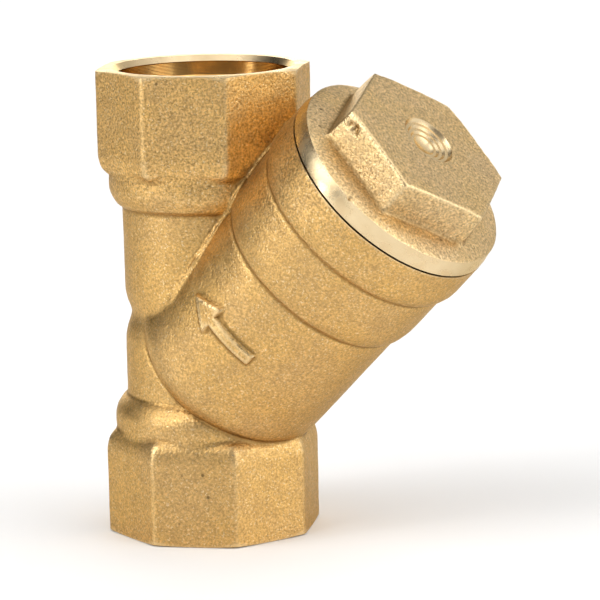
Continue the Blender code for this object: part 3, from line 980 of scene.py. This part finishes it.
# ------------------------------------------------------------------ gasket
def build_gasket():
    gasket = lathe(
        "flat_gasket",
        [
            (12.25, 37.6),
            (12.32, GASKET_TOP_S),
            (13.2, GASKET_TOP_S),
            (13.3, 37.6),
            (13.32, 37.2),
            (13.3, 36.8),
            (13.2, GASKET_LOW_S),
            (12.32, GASKET_LOW_S),
            (12.25, 36.8),
        ],
        BRANCH_FRAME,
    )
    gasket.data.materials.append(fibre("pressed_fibre"))
    shade(gasket)
    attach(gasket, "gasket")
    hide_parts("cap_gasket")


# ------------------------------------------------------------------ screen
def sheet_skin(bm, radius):
    """One side of the rolled sheet; gives its two end rings and the rims of its holes.

    Each cell has 16 points around it, four to a side, joined to the 16 of its round hole.
    Angles are counted in quarters of a cell, and every other row is shifted by half a cell.
    """
    quarters = 4 * HOLES_AROUND
    pitch = (SHEET_HIGH_S - SHEET_LOW_S - 2.0 * SHEET_BAND) / HOLE_ROWS
    shared = {}

    def vertex(turn, height):
        return bm.verts.new((radius * MM * math.cos(turn), radius * MM * math.sin(turn), height * MM))

    def turn_of(quarter):
        return 2.0 * math.pi * quarter / quarters

    def corner(quarter, row, part, height):
        """A point on a cell's border, made once and shared with the cells beside it."""
        key = (quarter % quarters, row, part)
        if key not in shared:
            shared[key] = vertex(turn_of(key[0]), height)
        return shared[key]

    def side_point(quarter, row, bottom, part):
        return corner(quarter, row, part, bottom + pitch * part / 4.0)

    rims = []
    for row in range(HOLE_ROWS):
        bottom = SHEET_LOW_S + SHEET_BAND + row * pitch
        top = bottom + pitch
        for k in range(HOLES_AROUND):
            left = 4 * k + 2 * ((row + 1) % 2)
            right = left + 4
            border = [corner(left + q, row, 0, bottom) for q in range(4)]
            border += [side_point(right, row, bottom, part) for part in range(4)]
            border += [corner(right - q, row + 1, 0, top) for q in range(4)]
            border += [corner(left, row + 1, 0, top)]
            border += [side_point(left, row, bottom, part) for part in (3, 2, 1)]
            rim = []
            for step in range(len(border)):
                turn = 2.0 * math.pi * step / len(border) - 0.75 * math.pi
                across = HOLE_R * math.cos(turn) / SHEET_R
                height = bottom + pitch / 2.0 + HOLE_R * math.sin(turn)
                rim.append(vertex(turn_of(left + 2) + across, height))
            for a in range(len(border)):
                b = (a + 1) % len(border)
                bm.faces.new((border[a], border[b], rim[b], rim[a]))
            rims.append(rim)
    ends = []
    for row, height in ((0, SHEET_LOW_S), (HOLE_ROWS, SHEET_HIGH_S)):
        edge = [vertex(turn_of(q), height) for q in range(quarters)]
        for q in range(quarters):
            r = (q + 1) % quarters
            bm.faces.new((edge[q], edge[r], shared[(r, row, 0)], shared[(q, row, 0)]))
        ends.append(edge)
    return ends + rims


def build_sheet():
    """Perforated sheet rolled into a tube."""
    bm = bmesh.new()
    outer, inner = sheet_skin(bm, SHEET_R), sheet_skin(bm, SHEET_INNER_R)
    for a, b in zip(outer, inner):
        for i in range(len(a)):
            j = (i + 1) % len(a)
            bm.faces.new((a[i], a[j], b[j], b[i]))
    sheet = object_from(bm, "perforated_sheet", BRANCH_FRAME)
    sheet.data.materials.append(stainless("sheet_stainless", (0.62, 0.61, 0.59), 0.26))
    shade(sheet)
    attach(sheet, "screen")
    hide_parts("screen_sheet")


def wire(bm, centre_line, closed):
    """A thin faceted wire along a list of points in mm, joined end to end if closed."""
    rings = []
    count = len(centre_line)
    for i, point in enumerate(centre_line):
        ahead = centre_line[(i + 1) % count] if closed or i + 1 < count else point
        behind = centre_line[i - 1] if closed or i > 0 else point
        along = (Vector(ahead) - Vector(behind)).normalized()
        outward = Vector((point[0], point[1], 0.0)).normalized()
        side = along.cross(outward).normalized()
        outward = side.cross(along)
        ring = []
        for k in range(WIRE_SIDES):
            turn = 2.0 * math.pi * k / WIRE_SIDES
            offset = (outward * math.cos(turn) + side * math.sin(turn)) * WIRE_THICKNESS / 2.0
            ring.append(bm.verts.new((Vector(point) + offset) * MM))
        rings.append(ring)
    pairs = list(zip(rings, rings[1:]))
    if closed:
        pairs.append((rings[-1], rings[0]))
    for a, b in pairs:
        for k in range(WIRE_SIDES):
            m = (k + 1) % WIRE_SIDES
            bm.faces.new((a[k], a[m], b[m], b[k]))
    if not closed:
        bm.faces.new(rings[0])
        bm.faces.new(rings[-1])


def woven_point(turn, height, wave):
    """A point of the cloth in mm; wave is 1 on its outer side and -1 on its inner side."""
    radius = LINING_R + 0.52 * WIRE_THICKNESS * wave
    return radius * math.cos(turn), radius * math.sin(turn), height


def build_lining():
    """Plain-woven wire cloth rolled inside the sheet: hoops, then upright wires."""
    low, high = SHEET_LOW_S + 0.05, SHEET_HIGH_S - 0.05
    around = 64
    hoops = int((high - low) / (2.0 * math.pi * LINING_R / around))
    bm = bmesh.new()
    for h in range(1, hoops):
        line = []
        for k in range(2 * around):
            wave = math.cos(math.pi * k / 2.0 + math.pi * h)
            line.append(woven_point(math.pi * k / around, low + (high - low) * h / hoops, wave))
        wire(bm, line, closed=True)
    for k in range(around):
        line = []
        for v in range(2 * hoops + 1):
            wave = -math.cos(math.pi * v / 2.0 + math.pi * k)
            height = low + (high - low) * v / (2.0 * hoops)
            line.append(woven_point(2.0 * math.pi * k / around, height, wave))
        wire(bm, line, closed=False)
    lining = object_from(bm, "woven_lining", BRANCH_FRAME)
    lining.data.materials.append(stainless("wire_stainless", (0.56, 0.55, 0.53), 0.32, 0.2))
    lining.data.shade_smooth()
    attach(lining, "screen")
    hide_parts("screen_lining")


def build_rim(name, node, floor, side, steel):
    """Folded channel ring with rolled edges; side +1 opens toward the cap, -1 away from it."""
    outline = [
        (6.62, 2.15),
        (6.6, 2.0),
        (6.6, 0.35),
        (6.7, 0.1),
        (6.95, 0.0),
        (8.25, 0.0),
        (8.5, 0.1),
        (8.6, 0.35),
        (8.6, 2.0),
        (8.55, 2.18),
        (8.42, 2.2),
        (8.34, 2.1),
        (8.32, 0.55),
        (8.22, 0.45),
        (7.02, 0.45),
        (6.92, 0.55),
        (6.9, 2.1),
        (6.8, 2.2),
    ]
    placed = [(r, floor + side * h) for r, h in outline]
    rim = lathe(name, placed, BRANCH_FRAME, steps=RIM_ROUND)
    rim.data.materials.append(steel)
    shade(rim, 50.0)
    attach(rim, "screen")
    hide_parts(node)


# ------------------------------------------------------------------ studio
# The camera: angles, its distance from the run's middle, and where it aims, in mm.
AZIMUTH = math.radians(34.245)
ELEVATION = math.radians(10.61)
ROLL = math.radians(1.557)
DISTANCE = 409.85
FOCAL = 197.1
AIM_RIGHT = 11.316
AIM_UP = -0.449

# The height the lamps aim at, and the light tent's walls: degrees from the camera's side,
# and brightness.
LIGHT_AIM = 30.0
TENT_WALLS = ((0.0, 0.22), (90.0, 1.15), (180.0, 0.08), (270.0, 0.05))
FLOOR_DROP = 0.05
FLOOR_R = 4000.0


def direction_from(azimuth, elevation):
    """Unit vector away from the strainer; azimuth 0 is its front, a quarter turn its +X side."""
    level = math.cos(elevation)
    return Vector((math.sin(azimuth) * level, -math.cos(azimuth) * level, math.sin(elevation)))


def build_camera():
    back = direction_from(AZIMUTH, ELEVATION)
    level = Vector((math.cos(AZIMUTH), math.sin(AZIMUTH), 0.0))
    upright = back.cross(level)
    right = level * math.cos(ROLL) - upright * math.sin(ROLL)
    up = level * math.sin(ROLL) + upright * math.cos(ROLL)
    middle = RUN_FRAME.to_translation() + Vector((0.0, 0.0, LENGTH / 2.0 * MM))
    place = middle + back * DISTANCE * MM
    aim = middle + right * AIM_RIGHT * MM + up * AIM_UP * MM
    z_axis = (place - aim).normalized()
    x_axis = up.cross(z_axis).normalized()
    y_axis = z_axis.cross(x_axis)
    camera = bpy.data.cameras.new("camera")
    camera.lens = FOCAL
    camera.sensor_width = 36.0
    camera.clip_start = 0.01
    camera.clip_end = 20.0
    obj = bpy.data.objects.new("camera", camera)
    bpy.context.scene.collection.objects.link(obj)
    rotation = Matrix((x_axis, y_axis, z_axis)).transposed().to_4x4()
    obj.matrix_world = Matrix.Translation(place) @ rotation
    bpy.context.scene.camera = obj


def softbox(name, azimuth, elevation, distance, width, height, power):
    """An area light aimed at the strainer: angles in degrees, sizes in metres, power in watts."""
    back = direction_from(math.radians(azimuth), math.radians(elevation))
    light = bpy.data.lights.new(name, "AREA")
    light.shape = "RECTANGLE"
    light.size = width
    light.size_y = height
    light.energy = power
    obj = bpy.data.objects.new(name, light)
    bpy.context.scene.collection.objects.link(obj)
    target = Vector((0.0, 0.0, LIGHT_AIM * MM))
    obj.location = target + back * distance
    obj.rotation_mode = "QUATERNION"
    obj.rotation_quaternion = back.to_track_quat("Z", "Y")


def build_studio():
    bm = bmesh.new()
    bmesh.ops.create_circle(bm, cap_ends=True, segments=96, radius=FLOOR_R * MM)
    floor = object_from(bm, "floor", Matrix.Translation(Vector((0.0, 0.0, -FLOOR_DROP * MM))))
    n = Nodes("pale_floor")
    tone = n.mix(n.noise(60.0, 2.0), (0.95, 0.95, 0.95), (0.97, 0.97, 0.965))
    n.set(n.shader, Base_Color=tone, Roughness=0.85)
    floor.data.materials.append(n.material)
    build_tent()
    softbox("key", -28.0, 42.0, 0.9, 0.7, 0.7, 4.3)
    softbox("strip", -34.0, 14.0, 0.9, 0.14, 0.6, 1.6)
    softbox("fill", 95.0, 25.0, 0.9, 0.6, 0.9, 2.5)
    softbox("rear", 200.0, 45.0, 1.0, 0.9, 0.7, 0.6)
    softbox("backdrop", 214.0, 11.0, 1.3, 1.6, 0.36, 7.0)
    softbox("overhead", 34.0, 80.0, 1.1, 1.0, 1.0, 3.7)
    bpy.context.scene.view_settings.view_transform = "Standard"


def build_tent():
    """White light tent whose walls differ in brightness, as the world's background."""
    world = bpy.data.worlds.new("studio")
    bpy.context.scene.world = world
    world.use_nodes = True
    tree = world.node_tree

    def join(kind, operation, *values):
        node = tree.nodes.new(kind)
        node.operation = operation
        for socket, value in zip(node.inputs, values):
            if hasattr(value, "links"):
                tree.links.new(value, socket)
            else:
                socket.default_value = value
        return node.outputs["Value"] if operation == "DOT_PRODUCT" else node.outputs[0]

    toward = tree.nodes.new("ShaderNodeTexCoord").outputs["Generated"]
    level = join("ShaderNodeVectorMath", "MULTIPLY", toward, (1.0, 1.0, 0.0))
    level = join("ShaderNodeVectorMath", "NORMALIZE", level)
    total = 0.0
    for turn, strength in TENT_WALLS:
        wall = AZIMUTH + math.radians(turn)
        facing = (math.sin(wall), -math.cos(wall), 0.0)
        share = join("ShaderNodeVectorMath", "DOT_PRODUCT", level, facing)
        share = join("ShaderNodeMath", "POWER", join("ShaderNodeMath", "MAXIMUM", share, 0.0), 2.0)
        total = join("ShaderNodeMath", "ADD", join("ShaderNodeMath", "MULTIPLY", share, strength), total)
    background = tree.nodes["Background"]
    background.inputs["Color"].default_value = (1.0, 1.0, 1.0, 1.0)
    tree.links.new(total, background.inputs["Strength"])


# ------------------------------------------------------------------ assembly
build_camera()
build_body()
build_cap()
build_gasket()
build_sheet()
build_lining()
rim_steel = stainless("rim_stainless", (0.66, 0.65, 0.63), 0.22)
build_rim("lower_rim", "screen_bottom_rim", 2.3, 1.0, rim_steel)
build_rim("upper_rim", "screen_top_rim", 34.0, -1.0, rim_steel)
build_studio()
